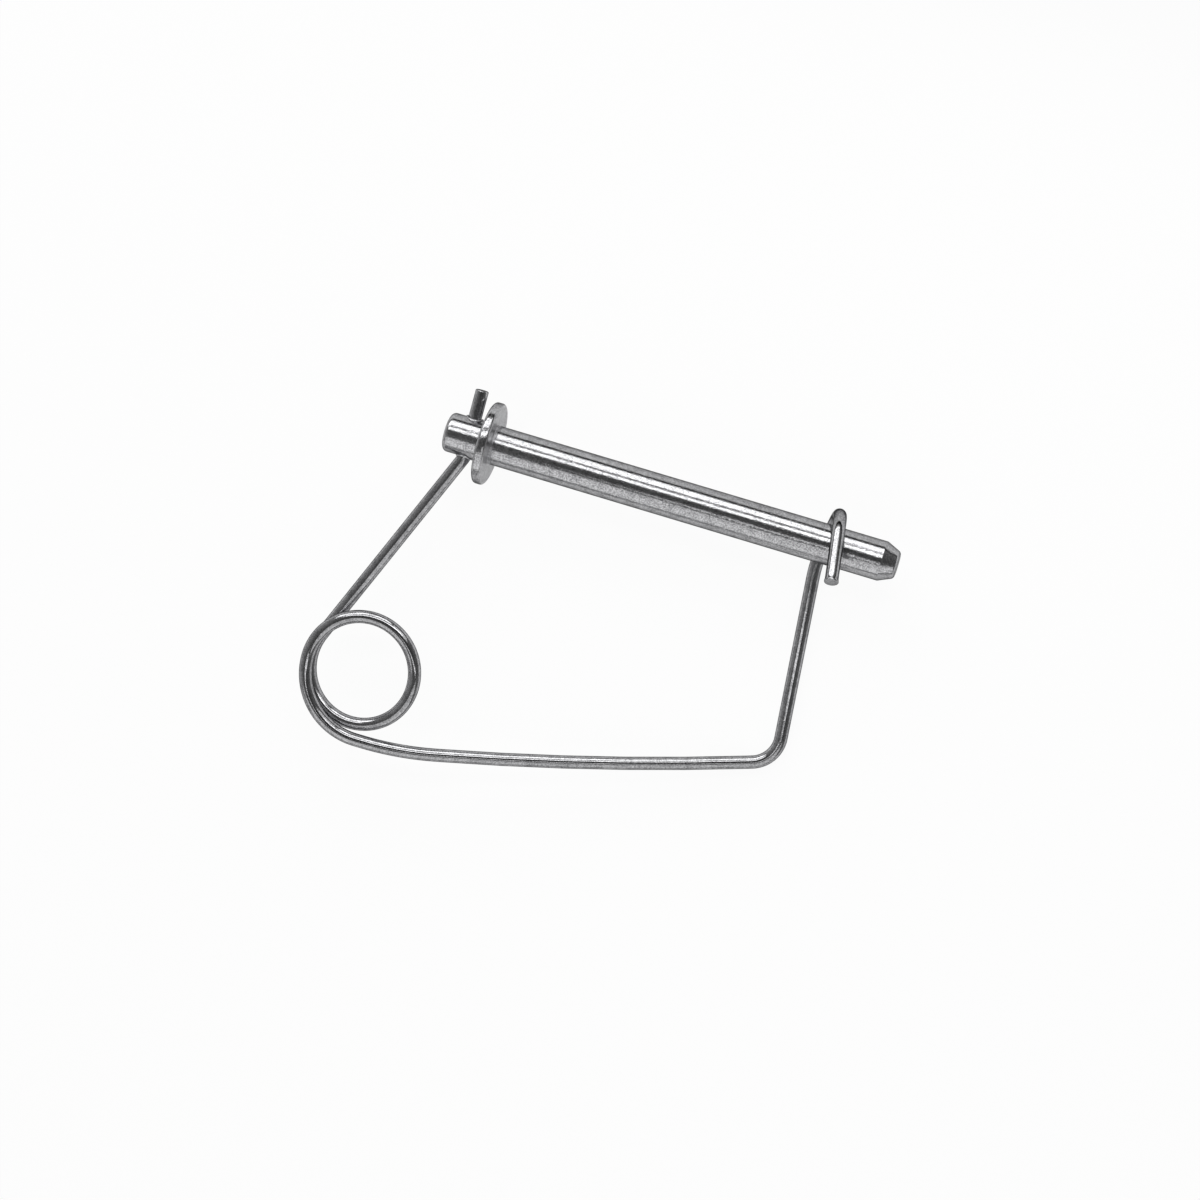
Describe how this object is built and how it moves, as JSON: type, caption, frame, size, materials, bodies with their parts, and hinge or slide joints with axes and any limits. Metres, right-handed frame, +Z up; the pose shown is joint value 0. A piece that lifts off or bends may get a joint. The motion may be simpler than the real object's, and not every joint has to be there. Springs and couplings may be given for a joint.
{
  "type": "hitch pin",
  "caption": "Round steel hitch pin with a formed collar and a coiled spring-wire latch whose hook closes round the shank.",
  "frame": {"origin": "on the pin's axis, at the collar's seating face", "axes": "+X along the pin towards its tip, +Y towards the free stub of the wire, +Z up from the level ground that the pin lies on"},
  "size_m": [0.1313, 0.0912, 0.0246],
  "materials": {
    "pin_steel": "bright zinc plate, gritty",
    "wire_steel": "bright zinc plate on drawn spring wire"
  },
  "bodies": {
    "pin_with_wire_anchor": {"pin": "pin_steel", "spring_wire_anchor_leg": "wire_steel"},
    "latch_arm": {"spring_wire_hook_arm": "wire_steel"}
  },
  "joints": [
    {"name": "latch_swing", "type": "hinge", "parent": "pin_with_wire_anchor", "child": "latch_arm", "pos_m": [-0.0169, -0.0615, 0], "axis": [0, 0, 1], "range_deg": [0, 15], "stiffness_Nm_per_rad": 6}
  ]
}
